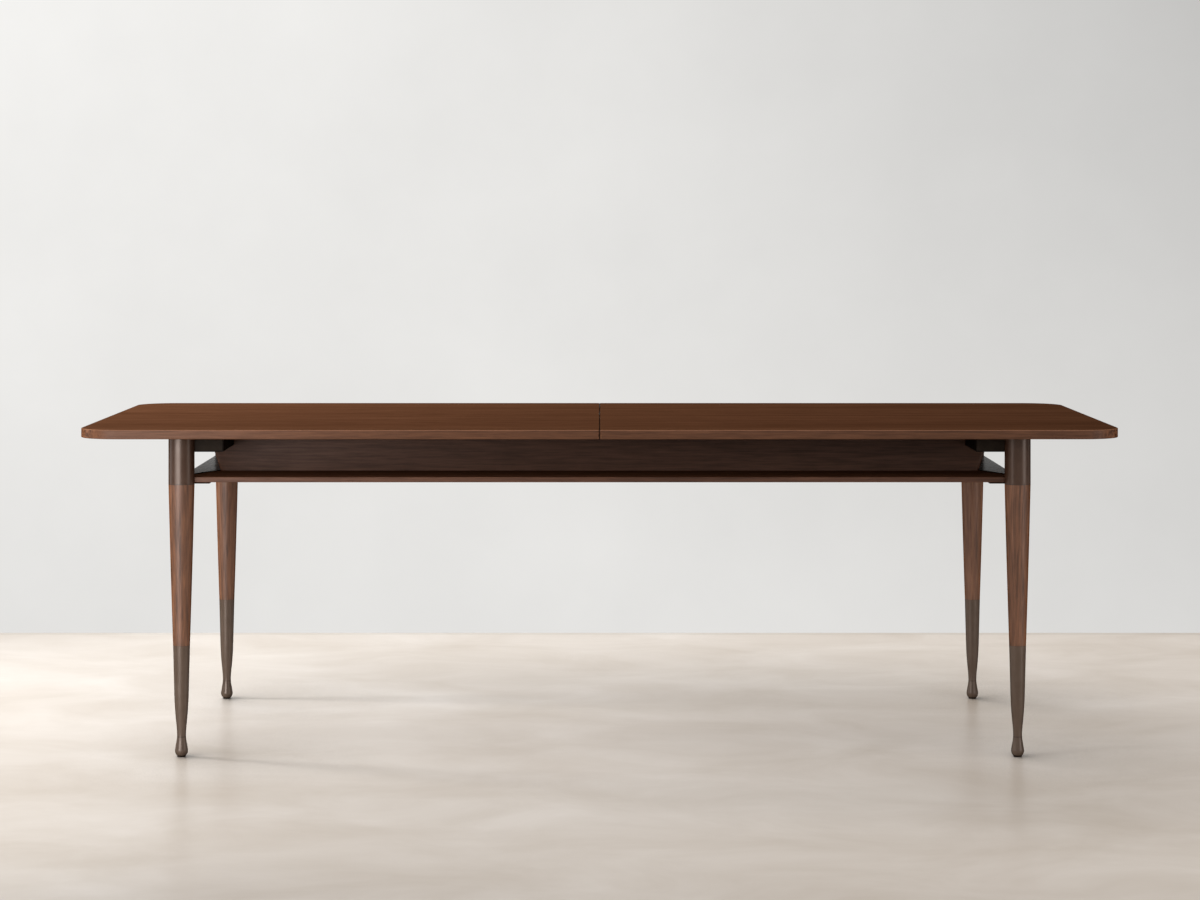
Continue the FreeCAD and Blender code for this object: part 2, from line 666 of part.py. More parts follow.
def rack_spacer_left(screws):
    """The block that hangs the rack from the underside of the left half."""
    block = box((-RACK_ANCHOR, -SPACER_SEAM_MARGIN), (-RACK_ROOT_Y - SPACER_WIDTH, -RACK_ROOT_Y),
                (GEAR_TOP, TOP_UNDER))
    return block.cut(screws.holes())


def rack_screws():
    """The screws that go up through the left rack and its spacer."""
    screws = ScrewSet(TOP_UNDER - GEAR_UNDER + TOP_SCREW_GRIP)
    for x in (SPACER_SEAM_MARGIN + SPACER_WIDTH, RACK_ANCHOR - SPACER_WIDTH):
        screws.add(Vec(-x, -RACK_ROOT_Y - RACK_BACK / 2, GEAR_UNDER), UP)
    return screws


def polar(radius, angle):
    return Vec(radius * math.cos(angle), radius * math.sin(angle), GEAR_UNDER)


def pinion():
    """A spur gear whose tooth flanks are arcs through three points of the involute."""
    base = PITCH_RADIUS * math.cos(PRESSURE_ANGLE)
    outer = PITCH_RADIUS + TOOTH_TIP
    root = PITCH_RADIUS - TOOTH_ROOT
    half_pitch_angle = (TOOTH_PITCH - TOOTH_BACKLASH) / 4 / PITCH_RADIUS
    flank_turn = half_pitch_angle + math.tan(PRESSURE_ANGLE) - PRESSURE_ANGLE

    def half_angle(radius):
        roll = math.acos(base / radius)
        return flank_turn - math.tan(roll) + roll

    step = 2 * math.pi / GEAR_TEETH
    flank_radii = [base, (base + outer) / 2, outer]
    edges = []
    for tooth in range(GEAR_TEETH):
        middle = tooth * step - math.pi / 2
        rising = [polar(radius, middle - half_angle(radius)) for radius in flank_radii]
        falling = [polar(radius, middle + half_angle(radius)) for radius in reversed(flank_radii)]
        root_in = polar(root, middle - flank_turn)
        root_out = polar(root, middle + flank_turn)
        next_root = polar(root, middle + step - flank_turn)
        edges += [line(root_in, rising[0]), arc(*rising), arc(rising[2], polar(outer, middle), falling[0]),
                  arc(*falling), line(falling[2], root_out),
                  arc(root_out, polar(root, middle + step / 2), next_root)]
    gear = Part.Face(Part.Wire(edges)).extrude(UP * GEAR_THICK)
    bore = rod(Vec(0, 0, GEAR_UNDER), UP, PINION_PIN_DIAMETER + 2 * PINION_BORE_ROOM, GEAR_THICK)
    holes = [rod(polar(PINION_HOLE_CIRCLE / 2, 2 * math.pi * k / PINION_HOLE_COUNT), UP, PINION_HOLE_DIAMETER,
                 GEAR_THICK) for k in range(PINION_HOLE_COUNT)]
    return gear.cut([bore] + holes)


def pinion_pin():
    head_under = GEAR_TOP + PINION_END_ROOM
    return stepped([(PINION_PIN_DIAMETER, BRIDGE_UNDER, head_under),
                    (PINION_PIN_HEAD_DIAMETER, head_under, head_under + PINION_PIN_HEAD_HEIGHT)])


def equaliser_bridge():
    board = box((-BRIDGE_WIDTH / 2, BRIDGE_WIDTH / 2), (-BAY_HALF, BAY_HALF), (BRIDGE_UNDER, BRIDGE_TOP))
    return board.cut(rod(Vec(0, 0, BRIDGE_UNDER), UP, PINION_PIN_DIAMETER + 2 * THREAD_ROOM, BRIDGE_THICK))


def bridge_brackets(screws):
    brackets = []
    x = (-BRACKET_WIDTH / 2, BRACKET_WIDTH / 2)
    for side in SIDES.values():
        wall_y = (side * (BAY_HALF - BRACKET_THICK), side * BAY_HALF)
        upright = box(x, wall_y, (BRIDGE_UNDER - BRACKET_DROP, BRIDGE_UNDER))
        ledge_y = (side * (BAY_HALF - BRACKET_LEG), side * BAY_HALF)
        ledge = box(x, ledge_y, (BRIDGE_UNDER - BRACKET_THICK, BRIDGE_UNDER))
        brackets.append(upright.fuse(ledge).removeSplitter().cut(screws.holes()))
    return brackets


def rack_guides():
    x = (-BRIDGE_WIDTH / 2, BRIDGE_WIDTH / 2)
    near = RACK_BACK_Y + GUIDE_ROOM
    far = near + GUIDE_THICK
    return [box(x, (side * near, side * far), (BRIDGE_TOP, GEAR_TOP)) for side in SIDES.values()]


# Table top, leaf and the pins in their joining edges

def pin_offsets():
    """Where the alignment pins lie along a joining edge, from its middle."""
    outer = TOP_WIDTH / 2 - PIN_EDGE_MARGIN
    return [-outer, -PIN_INNER_Y, PIN_INNER_Y, outer]


def arris(corner, along, first, second):
    """The sliver that easing takes off a straight joining edge."""
    return polygon([corner, corner + first * SEAM_EASE, corner + second * SEAM_EASE]).extrude(along)


def top_blank():
    """The right half of the top, before its holes."""
    seam_x = SEAM_GAP / 2
    end_x = TOP_LENGTH / 2
    side_y = TOP_WIDTH / 2
    bend = CORNER_RADIUS * (1 - math.sqrt(0.5))
    z = TOP_UNDER
    straight_x = end_x - CORNER_RADIUS
    straight_y = side_y - CORNER_RADIUS
    eased_x = seam_x + SEAM_CORNER
    eased_y = side_y - SEAM_CORNER
    outline = [(seam_x, -eased_y), (eased_x, -side_y), (straight_x, -side_y), (end_x, -straight_y),
               (end_x, straight_y), (straight_x, side_y), (eased_x, side_y), (seam_x, eased_y)]
    corners = [Vec(x, y, z) for x, y in outline]
    front_bend = Vec(end_x - bend, bend - side_y, z)
    back_bend = Vec(end_x - bend, side_y - bend, z)
    bends = {2: front_bend, 4: back_bend}
    edges = []
    for k, (start, finish) in enumerate(zip(corners, corners[1:] + corners[:1])):
        edges.append(arc(start, bends[k], finish) if k in bends else line(start, finish))
    board = Part.Face(Part.Wire(edges)).extrude(UP * TOP_THICK)
    rim = [edge for edge in board.Edges
           if edge.BoundBox.ZLength < EDGE_EASE and edge.BoundBox.XMax > seam_x + EDGE_EASE]
    board = board.makeFillet(EDGE_EASE, rim)
    along = Vec(0, TOP_WIDTH, 0)
    outward = Vec(1, 0, 0)
    return board.cut([arris(Vec(seam_x, -side_y, TABLE_HEIGHT), along, outward, DOWN),
                      arris(Vec(seam_x, -side_y, TOP_UNDER), along, outward, UP)])


def pin_rods(end, diameter, length):
    """Rods that go from the seam face of one half into its board."""
    seam_x = end * SEAM_GAP / 2
    return [rod(Vec(seam_x, y, TOP_MIDDLE), Vec(end, 0, 0), diameter, length) for y in pin_offsets()]


def latch_thread_holes(end):
    diameter = LATCH_THREAD_DIAMETER + 2 * THREAD_ROOM
    depth = LATCH_THREAD_LENGTH + BLIND_ROOM
    return [rod(Vec(end * LATCH_SEAM_MARGIN, side * LATCH_Y, TOP_UNDER), UP, diameter, depth)
            for side in SIDES.values()]


def top_right(screw_sets):
    sockets = pin_rods(1, PIN_DIAMETER + 2 * PIN_ROOM, PIN_REACH + PIN_TIP_ROOM)
    holes = [hole for screws in screw_sets for hole in screws]
    return top_blank().cut(sockets + latch_thread_holes(1) + holes)


def top_left(screw_sets):
    pin_holes = pin_rods(-1, PIN_DIAMETER + 2 * THREAD_ROOM, PIN_EMBED)
    holes = [hole for screws in screw_sets for hole in screws]
    return mirrored_x(top_blank()).cut(pin_holes + latch_thread_holes(-1) + holes)


def alignment_pins():
    start_x = -SEAM_GAP / 2 - PIN_EMBED
    return [rod(Vec(start_x, y, TOP_MIDDLE), Vec(1, 0, 0), PIN_DIAMETER, PIN_EMBED + PIN_REACH)
            for y in pin_offsets()]


LEAF_BACK_Y = LEAF_FRONT_Y + LEAF_WIDTH
LEAF_TOP = LEAF_UNDER + TOP_THICK


def leaf_rods(y, direction, diameter, length):
    middle_x = (LEAF_INNER_X + LEAF_OUTER_X) / 2
    return [rod(Vec(middle_x + x, y, LEAF_UNDER + TOP_THICK / 2), Vec(0, direction, 0), diameter, length)
            for x in pin_offsets()]


def leaf():
    board = box((LEAF_INNER_X, LEAF_OUTER_X), (LEAF_FRONT_Y, LEAF_BACK_Y), (LEAF_UNDER, LEAF_TOP))
    end_edges = [edge for edge in board.Edges if edge.BoundBox.YLength > LEAF_WIDTH / 2]
    board = board.makeFillet(EDGE_EASE, end_edges)
    along = Vec(TOP_WIDTH, 0, 0)
    arrises = []
    for y, inward in ((LEAF_FRONT_Y, Vec(0, 1, 0)), (LEAF_BACK_Y, Vec(0, -1, 0))):
        arrises.append(arris(Vec(LEAF_INNER_X, y, LEAF_TOP), along, inward, DOWN))
        arrises.append(arris(Vec(LEAF_INNER_X, y, LEAF_UNDER), along, inward, UP))
    sockets = leaf_rods(LEAF_FRONT_Y, 1, PIN_DIAMETER + 2 * PIN_ROOM, PIN_REACH + PIN_TIP_ROOM)
    pin_holes = leaf_rods(LEAF_BACK_Y, -1, PIN_DIAMETER + 2 * THREAD_ROOM, PIN_EMBED)
    return board.cut(arrises + sockets + pin_holes)


def leaf_pins():
    return leaf_rods(LEAF_BACK_Y - PIN_EMBED, 1, PIN_DIAMETER, PIN_EMBED + PIN_REACH)


def leaf_bearers():
    """Two strips that the stored leaf lies on, and the block at its inner end."""
    x = (LEAF_INNER_X, LEAF_OUTER_X)
    z = (SHELF_TOP, LEAF_UNDER)
    strips = [box(x, (side * BEARER_Y, side * (BEARER_Y + BEARER_WIDTH)), z) for side in SIDES.values()]
    stop_x = LEAF_INNER_X - LEAF_STOP_ROOM
    stop = box((stop_x - LEAF_STOP_LENGTH, stop_x), (-LEAF_STOP_WIDTH / 2, LEAF_STOP_WIDTH / 2),
               (SHELF_TOP, SHELF_TOP + LEAF_STOP_HEIGHT))
    return strips + [stop]


# Latches

def shoulder_screw():
    """A headed pin with a collar against the underside of the top, and a thread above it."""
    head_top = LATCH_UNDER - LATCH_ROOM
    collar_under = LATCH_TOP + LATCH_ROOM
    return stepped([(LATCH_HEAD_DIAMETER, head_top - LATCH_HEAD_HEIGHT, head_top),
                    (LATCH_PIVOT_DIAMETER, head_top, collar_under),
                    (LATCH_COLLAR_DIAMETER, collar_under, TOP_UNDER),
                    (LATCH_THREAD_DIAMETER, TOP_UNDER, TOP_UNDER + LATCH_THREAD_LENGTH)])


def shoulder_screws(end):
    return [moved(shoulder_screw(), end * LATCH_SEAM_MARGIN, side * LATCH_Y) for side in SIDES.values()]


def latch_front():
    """A lever with a hooked slot that swings round the keeper, shown unlocked."""
    z = (LATCH_UNDER, LATCH_TOP)
    half_width = LATCH_WIDTH / 2
    arm = box((0, LATCH_REACH + LATCH_TIP), (-half_width, half_width), z)
    tip_edges = [edge for edge in arm.Edges if edge.BoundBox.ZLength > LATCH_THICK / 2
                 and edge.BoundBox.XMin > LATCH_REACH]
    arm = arm.makeFillet(half_width / 2, tip_edges)
    eye = rod(Vec(0, 0, LATCH_UNDER), UP, LATCH_WIDTH, LATCH_THICK)
    slot_room = LATCH_PIVOT_DIAMETER / 2 + LATCH_SLOT_ROOM
    ring = rod(Vec(0, 0, LATCH_UNDER), UP, 2 * (LATCH_REACH + slot_room), LATCH_THICK)
    ring = ring.cut(rod(Vec(0, 0, LATCH_UNDER), UP, 2 * (LATCH_REACH - slot_room), LATCH_THICK))
    slot = ring.common(box((0, LATCH_REACH + LATCH_TIP), (0, LATCH_WIDTH), z))
    slot_end = rod(Vec(LATCH_REACH, 0, LATCH_UNDER), UP, 2 * slot_room, LATCH_THICK)
    bore = rod(Vec(0, 0, LATCH_UNDER), UP, LATCH_PIVOT_DIAMETER + 2 * LATCH_BORE_ROOM, LATCH_THICK)
    lever = arm.fuse(eye).removeSplitter().cut([slot, slot_end, bore])
    lever.rotate(Vec(0, 0, 0), UP, -90)
    return moved(lever, -LATCH_SEAM_MARGIN, -LATCH_Y)


def turn_screws(screws):
    """The solids of the left half's rack screws, turned to the right half."""
    return [half_turned(solid) for solid in screws]


def build():
    """All nodes of the table, by name."""
    nodes = {}
    for name, x, y in leg_places():
        nodes["leg_" + name] = moved(leg(), x, y)
        nodes["collar_" + name] = moved(collar(), x, y)
        nodes["ferrule_" + name] = moved(ferrule(), x, y)
        nodes["foot_" + name] = moved(foot(), x, y)
    nodes["floor_glides"] = [moved(floor_glide(), x, y) for _, x, y in leg_places()]
    nodes["leg_bolts"] = [moved(leg_bolt(), x, y) for _, x, y in leg_places()]
    nodes["leg_inserts"] = [moved(leg_insert(), x, y) for _, x, y in leg_places()]

    to_beams = beam_screws()
    to_shelf = bar_screws()
    to_aprons = apron_screws()
    to_rails = rail_screws()
    for end_name, end in ENDS.items():
        nodes["crossbeam_" + end_name] = crossbeam(end, to_beams)
        nodes["shelf_bar_" + end_name] = shelf_bar(end, to_shelf)
    for side_name, side in SIDES.items():
        nodes["apron_" + side_name] = apron(side, [to_beams, to_aprons, to_rails])
        nodes["guide_rail_" + side_name] = guide_rail(side, to_rails)
    nodes["crossbeam_caps"] = crossbeam_caps()
    nodes["top_glide_pads"] = top_glide_pads()
    nodes["shelf"] = shelf([to_shelf, to_aprons])
    nodes["rail_stops"] = rail_stops()
    nodes["beam_screws"] = to_beams.solids()
    nodes["shelf_screws"] = to_shelf.solids()
    nodes["apron_screws"] = to_aprons.solids()
    nodes["rail_screws"] = to_rails.solids()
    nodes["equaliser_bridge"] = equaliser_bridge()
    nodes["bridge_brackets"] = bridge_brackets(to_rails)
    nodes["rack_guides"] = rack_guides()
    nodes["pinion_pin"] = pinion_pin()
    nodes["pinion"] = pinion()
    nodes["leaf_bearers"] = leaf_bearers()
    nodes["leaf"] = leaf()
    nodes["leaf_pins"] = leaf_pins()

    to_rack = rack_screws()
    rack = rack_left(to_rack)
    spacer = rack_spacer_left(to_rack)
    nodes["rack_left"] = rack
    nodes["rack_right"] = half_turned(rack)
    nodes["rack_spacer_left"] = spacer
    nodes["rack_spacer_right"] = half_turned(spacer)
    for end_name, end in ENDS.items():
        to_runners = runner_screws(end)
        rack_solids = to_rack.solids() if end < 0 else turn_screws(to_rack.solids())
        rack_holes = to_rack.holes() if end < 0 else turn_screws(to_rack.holes())
        half_top = top_left if end < 0 else top_right
        nodes["top_" + end_name] = half_top([to_runners.holes(), rack_holes])
        nodes["runners_" + end_name] = runners(end, to_runners)
        nodes["slide_shoes_" + end_name] = slide_shoes(end)
        nodes["top_screws_" + end_name] = to_runners.solids() + rack_solids
    nodes["alignment_pins"] = alignment_pins()
    nodes["latch_pivots"] = shoulder_screws(-1)
    nodes["latch_keepers"] = shoulder_screws(1)
    nodes["latch_front"] = latch_front()
    nodes["latch_back"] = mirrored_y(latch_front())
    return nodes


def write(nodes):
    os.makedirs("parts", exist_ok=True)
    for name, shape in nodes.items():
        pieces = shape if isinstance(shape, list) else [shape]
        solids = [solid for piece in pieces for solid in piece.Solids]
        node = solids[0] if len(solids) == 1 else Part.makeCompound(solids)
        node.exportStep("parts/" + name + ".step")


write(build())
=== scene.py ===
import json
import math

import bpy
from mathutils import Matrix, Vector


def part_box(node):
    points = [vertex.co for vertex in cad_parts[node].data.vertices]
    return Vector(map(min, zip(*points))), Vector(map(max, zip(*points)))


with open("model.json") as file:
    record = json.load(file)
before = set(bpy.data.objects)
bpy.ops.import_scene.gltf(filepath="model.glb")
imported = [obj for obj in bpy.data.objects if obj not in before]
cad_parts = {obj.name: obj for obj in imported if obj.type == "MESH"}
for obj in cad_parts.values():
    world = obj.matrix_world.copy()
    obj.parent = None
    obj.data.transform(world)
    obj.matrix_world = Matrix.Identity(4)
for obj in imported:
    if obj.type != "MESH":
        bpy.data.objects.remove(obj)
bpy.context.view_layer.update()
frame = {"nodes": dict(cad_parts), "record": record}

# Camera, fitted to the photograph's 1200 by 900 frame
IMAGE_WIDTH_PX = 1200
FOCAL_PX = 3170.0
SENSOR_WIDTH_MM = 36.0
CAMERA_PLACE = (0.0010, -7.7865, 1.2436)
CAMERA_TURN = (math.pi / 2, 0.0, 0.0)
HORIZON_ABOVE_CENTRE_PX = 230.5
FARTHEST_VIEW = 100.0

# Tones are linear colours, from dark to light. Shades and facings are (place, level) stops of a ramp:
# a facing goes by how far a surface faces along an axis. Changes are (place, change) stops about a base.
# Noise textures are (scale, detail, roughness, distortion), and bumps are (strength, distance).

# Floor: edges, cloudy tones, and painted light and shade between two ends along the table and in depth
FLOOR_BACK_Y = 1.75
FLOOR_FRONT_Y = -12.0
FLOOR_HALF_WIDTH = 9.0
FLOOR_BROAD = (1.2, 3.0, 0.5, 0.4)
FLOOR_BROAD_STRETCH = (0.8, 0.5, 1.0)
FLOOR_CLOUDS = (2.6, 6.0, 0.60, 0.5)
FLOOR_CLOUDS_STRETCH = (1.0, 1.2, 1.0)
FLOOR_CLOUDS_PLACE = (5.0, 2.0, 0.0)
FLOOR_BROAD_WEIGHT = 0.4
FLOOR_CLOUDS_WEIGHT = 0.6
FLOOR_TONES = ((0.600, 0.508, 0.424), (0.835, 0.755, 0.688))
FLOOR_TONE_STOPS = (0.30, 0.70)
FLOOR_ENDS = (-3.0, 3.0)
# Painted light and shade: darker at the left, where the lamps are strong, lighter towards the right
FLOOR_PAINTED_FALLOFF = ((0.0, 0.64), (0.29, 0.83), (0.5, 0.91), (0.71, 1.0))
FLOOR_DEPTH = (-0.4, FLOOR_BACK_Y)
# Painted light towards the back, then a painted shade line where the floor meets the wall
FLOOR_DEPTH_PAINTED_SHADES = ((0.0, 0.860), (0.88, 1.0), (0.976, 1.0), (0.980, 0.88))
FLOOR_GLOSS = ((0.20, 0.29), (0.80, 0.36))
FLOOR_SPECULAR = 0.10

# Shade on the floor beside what stands there: on the side away from a direction, within a reach
CONTACT_SIDE = (-0.80, 0.10, 0.59)
CONTACT_REACH = 0.45
CONTACT_SAMPLES = 4
CONTACT_SHADES = ((0.72, 0.40), (0.985, 1.0))

# Wall behind the table, by direction, and the ground tone that shows far below it
WALL_SPREAD = 0.19
WALL_LEVELS = ((0.0, 0.865), (0.5, 0.785), (1.0, 0.600))
WALL_TWIST = -3.8
WALL_CLOUDS = (16.0, 6.0, 0.6, 0.0)
WALL_MOTTLE = 0.13
WALL_FADE = 0.3
WALL_TINT = (1.0, 0.990, 0.968, 1.0)
GROUND_TINT = (0.640, 0.575, 0.500, 1.0)
GROUND_DROP = (-0.14, -0.24)

# Room light: a base level, what each side adds to it, and the share of it that reflections show
ROOM_BASE = 0.085
ROOM_SIDES = (
    ("Z", 1.0, 0.13),
    ("X", -1.0, 0.05),
    ("X", 1.0, 0.03),
    ("Y", -1.0, 2.35),
    ("Y", 1.0, 0.16),
)
ROOM_GLOSS = 0.08

# Lamps: name, place, aim, width, height, spread in degrees, watts, and whether reflections show it
DAYLIGHT = (0.945, 0.980, 1.0)
TABLE_MIDDLE = (0.0, 0.0, 0.6)
LEFT_LEGS = (-1.3, 0.0, 0.6)
RIGHT_FEET = (1.0, -0.35, 0.1)
LAMPS = (
    ("left_window", (-3.3, 0.5, 1.6), TABLE_MIDDLE, 0.6, 0.9, 120.0, 36.0, False),
    ("back_window", (-1.6, 2.6, 3.4), TABLE_MIDDLE, 2.4, 1.6, 180.0, 88.0, True),
    ("left_panel", (-2.6, 0.2, 0.90), TABLE_MIDDLE, 1.6, 1.4, 180.0, 8.5, True),
    ("left_strip", (-3.0, -2.3, 1.3), RIGHT_FEET, 0.4, 0.6, 40.0, 2.6, False),
    ("left_softbox", (-1.89, -2.05, 0.72), LEFT_LEGS, 1.5, 1.2, 100.0, 13.5, True),
    ("right_softbox", (2.70, -1.70, 0.85), TABLE_MIDDLE, 0.9, 1.6, 120.0, 5.0, True),
)

# Wood grain: noise per metre along and across the grain, then detail, roughness and distortion
WOOD_FIGURE = (0.6, 7.0, 3.0, 0.5, 1.2)
WOOD_BANDS = (0.9, 34.0, 4.0, 0.55, 0.5)
WOOD_STREAKS = (11.0, 230.0, 4.0, 0.6, 0.2)
WOOD_PORES = (42.0, 1500.0, 2.0, 0.5, 0.0)
FIGURE_WEIGHT = 0.35
BANDS_WEIGHT = 0.20
STREAKS_WEIGHT = 0.45
WOOD_STOPS = (0.38, 0.50, 0.62)
STREAK_SHADES = ((0.34, 0.74), (0.56, 1.0))
STREAK_SHARE = 0.6
PORE_SHADES = ((0.34, 0.45), (0.42, 1.0))
PORE_SHARE = 0.4

# Woods: tones for dark streaks, middle and light streaks, where the grain starts, and how far it waves
TOP_TONES = ((0.0748, 0.0291, 0.0131), (0.0956, 0.0382, 0.0182), (0.1202, 0.0500, 0.0250))
TOP_GRAIN_PLACE = (0.0, 0.0, 0.0)
LEG_TONES = ((0.0620, 0.0222, 0.0088), (0.1190, 0.0460, 0.0200), (0.1800, 0.0753, 0.0360))
LEG_GRAIN_PLACE = (3.1, 1.7, 0.0)
FRAME_TONES = ((0.0690, 0.0268, 0.0135), (0.0920, 0.0368, 0.0193), (0.1180, 0.0500, 0.0275))
FRAME_GRAIN_PLACE = (7.3, 2.9, 1.3)
FRAME_WAVE = 2.0
BIRCH_TONES = ((0.420, 0.270, 0.130), (0.520, 0.350, 0.180), (0.600, 0.430, 0.240))
BIRCH_GRAIN_PLACE = (1.9, 0.4, 0.0)

# Painted falloff of light along the table, end grain, painted edge highlights and painted shade lines at
# joints
TABLE_ENDS = (-1.25, 1.25)
# Painted light: the wood's tone falls towards the right end, where less light falls
TOP_PAINTED_FALLOFF = ((0.0, 1.0), (1.0, 0.71))
FRAME_PAINTED_FALLOFF = ((0.10, 0.91), (0.30, 0.76), (0.50, 0.70), (1.0, 0.71))
END_GRAIN_BLOTCHES = (130.0, 5.0, 0.65, 0.5)
END_GRAIN_TONES = ((0.050, 0.020, 0.010), (0.150, 0.064, 0.033))
END_GRAIN_STOPS = (0.40, 0.62)
END_GRAIN_FACING = ((0.35, 0.0), (0.75, 1.0))
# Painted highlight along the eased upper edges
ARRIS_HIGHLIGHT_TONE = (0.170, 0.076, 0.040)
ARRIS_HIGHLIGHT_FACING = ((0.10, 0.0), (0.25, 0.8), (0.90, 0.8), (0.98, 0.0))
# Painted shade lines in the joints and in the seam between the halves
JOINT_SHADE_TONE = (0.020, 0.010, 0.006)
JOINT_LINE = 0.0012
SEAM_LINE = 0.0014
SEAM_FACE_LIMIT = 0.95

# Lacquer: how it changes with the grain, then (roughness, specular level) for each wood
LACQUER_CHANGES = ((0.30, 0.08), (0.70, -0.05))
LACQUER_HEIGHT_WEIGHT = 0.5
LACQUER_BUMP = (0.10, 0.0004)
TOP_LACQUER = (0.42, 0.16)
LEG_LACQUER = (0.46, 0.50)
FRAME_LACQUER = (0.46, 0.22)
BIRCH_LACQUER = (0.60, 0.3)

# Gloss that fades as the surface turns away from the viewer
FADE_BLEND = 0.5
FADE_START = 0.25
FADE_END = 0.60

# Metal: cloudy patina, and brushing as noise along and across like the wood's
PATINA = (38.0, 5.0, 0.6, 0.4)
PATINA_STOPS = (0.32, 0.70)
BRUSHING = (10.0, 420.0, 3.0, 0.6, 0.0)
BRUSH_SHADES = ((0.34, 0.80), (0.60, 1.0))
BRUSH_SHARE = 0.6
BRUSH_BUMP = (0.03, 0.0002)
METAL_CHANGES = ((0.30, -0.05), (0.70, 0.07))
BRONZE_ROUGHNESS = 0.33
BRONZE_METALLIC = 0.1
BRONZE_TINT = (1.0, 0.82, 0.72, 1.0)
COLLAR_TONES = ((0.0330, 0.0150, 0.0088), (0.0430, 0.0205, 0.0126))
COLLAR_SPECULAR = 0.75
FERRULE_TONES = ((0.0490, 0.0308, 0.0207), (0.0630, 0.0412, 0.0290))
FERRULE_SPECULAR = 0.95
# Painted shade lines at the ferrule's top and at the foot's waist
RIM_SHADE_TONE = (0.030, 0.020, 0.014)
RIM_LINE = 0.0013
WAIST_LINE = 0.0024
BLACK_STEEL_TONES = ((0.0048, 0.0030, 0.0019), (0.0072, 0.0047, 0.0032))
BLACK_STEEL_ROUGHNESS = 0.55
BLACK_STEEL_SPECULAR = 0.03
RUBBED_FACING = ((0.50, 0.0), (0.90, 0.36))
RUBBED_ROUGHNESS = 0.20
STEEL_TONES = ((0.50, 0.50, 0.49), (0.62, 0.62, 0.60))
BRASS_TONES = ((0.58, 0.40, 0.15), (0.68, 0.50, 0.22))
BARE_METAL_ROUGHNESS = 0.34

# Plastic and felt
PLASTIC_MOTTLE = (60.0, 4.0, 0.55, 0.0)
PLASTIC_STOPS = (0.35, 0.70)
PLASTIC_SKIN_DETAIL = (2.0, 0.55, 0.0)
PLASTIC_CHANGES = ((0.30, -0.06), (0.70, 0.06))
PLASTIC_BUMP = (0.12, 0.0002)
PLASTIC_SPECULAR = 0.06
NYLON_TONES = ((0.66, 0.64, 0.58), (0.72, 0.70, 0.64))
NYLON_ROUGHNESS = 0.45
NYLON_SKIN_SCALE = 1500.0
BLACK_PLASTIC_TONES = ((0.011, 0.0070, 0.0045), (0.016, 0.0105, 0.0070))
BLACK_PLASTIC_ROUGHNESS = 0.60
BLACK_PLASTIC_SKIN_SCALE = 1800.0
FELT_HAIRS = (900.0, 5.0, 0.7, 0.0)
FELT_TONES = ((0.020, 0.019, 0.018), (0.050, 0.047, 0.044))
FELT_STOPS = (0.30, 0.70)
FELT_ROUGHNESS = 0.95
FELT_BUMP = (0.5, 0.0006)
FELT_SPECULAR = 0.1
FELT_SHEEN = 0.3

# Places of the colour sockets on a mix node, and where a new ramp stop starts before it is set
MIX_FACTOR = 0
MIX_FIRST = 6
MIX_SECOND = 7
MIX_RESULT = 2
NEW_STOP = 0.5

ORIGIN = (0.0, 0.0, 0.0)
TRUE_SCALE = (1.0, 1.0, 1.0)
AXES = "XYZ"
UP = AXES.index("Z")


def opaque(tone):
    """A tone as a colour with full alpha."""
    return tuple(tone) + (1.0,)


class NodeTree:
    """A node tree that is filled by short calls."""

    def __init__(self, owner):
        owner.use_nodes = True
        self.tree = owner.node_tree
        self.tree.nodes.clear()

    def add(self, kind, **values):
        node = self.tree.nodes.new(kind)
        for key, value in values.items():
            setattr(node, key, value)
        return node

    def link(self, source, target):
        self.tree.links.new(source, target)

    def feed(self, socket, value):
        """Links a value that comes from a node, or sets a constant."""
        if isinstance(value, bpy.types.NodeSocket):
            self.link(value, socket)
        else:
            socket.default_value = value

    def split(self, vector):
        """The three parts of a vector, by axis."""
        node = self.add("ShaderNodeSeparateXYZ")
        self.link(vector, node.inputs[0])
        return node.outputs

    def math(self, operation, *values):
        node = self.add("ShaderNodeMath", operation=operation)
        for socket, value in zip(node.inputs, values):
            self.feed(socket, value)
        return node.outputs[0]

    def weighted_sum(self, *terms):
        """The sum of (value, weight) terms."""
        parts = [self.math("MULTIPLY", value, weight) for value, weight in terms]
        total = parts[0]
        for part in parts[1:]:
            total = self.math("ADD", total, part)
        return total

    def noise(self, vector, scale, detail, roughness, distortion):
        node = self.add("ShaderNodeTexNoise")
        node.inputs["Scale"].default_value = scale
        node.inputs["Detail"].default_value = detail
        node.inputs["Roughness"].default_value = roughness
        node.inputs["Distortion"].default_value = distortion
        self.link(vector, node.inputs["Vector"])
        return node.outputs["Fac"]

    def ramp(self, value, stops):
        """A colour ramp from (place, colour) stops."""
        stops = list(stops)
        node = self.add("ShaderNodeValToRGB")
        elements = node.color_ramp.elements
        while len(elements) < len(stops):
            elements.new(NEW_STOP)
        for element, (place, colour) in zip(elements, stops):
            element.position = place
            element.color = opaque(colour)
        self.link(value, node.inputs["Fac"])
        return node.outputs["Color"]

    def grey_ramp(self, value, stops):
        return self.ramp(value, [(place, (level, level, level)) for place, level in stops])


